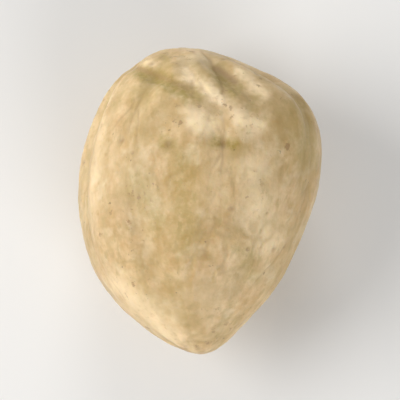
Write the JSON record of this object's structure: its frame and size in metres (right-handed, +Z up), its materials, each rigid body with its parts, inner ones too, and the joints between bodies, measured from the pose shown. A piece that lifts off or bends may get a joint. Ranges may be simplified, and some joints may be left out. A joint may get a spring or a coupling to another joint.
{
  "type": "candlenut kernel",
  "caption": "Shelled candlenut kernel: a plump egg of dry cream seed flesh with a scarred broad end, shallow furrows and a blunt tip, lying on its flatter side.",
  "frame": {"origin": "on the flat spot the kernel lies on, under the middle of its box", "axes": "+Y from the blunt tip to the scarred base along the kernel, +Z up from the belly to the crown, +X to the right seen from above with the base away"},
  "size_m": [0.0168, 0.0212, 0.0138],
  "materials": {
    "flesh": null
  },
  "bodies": {
    "root": {"kernel": "flesh"}
  },
  "joints": []
}
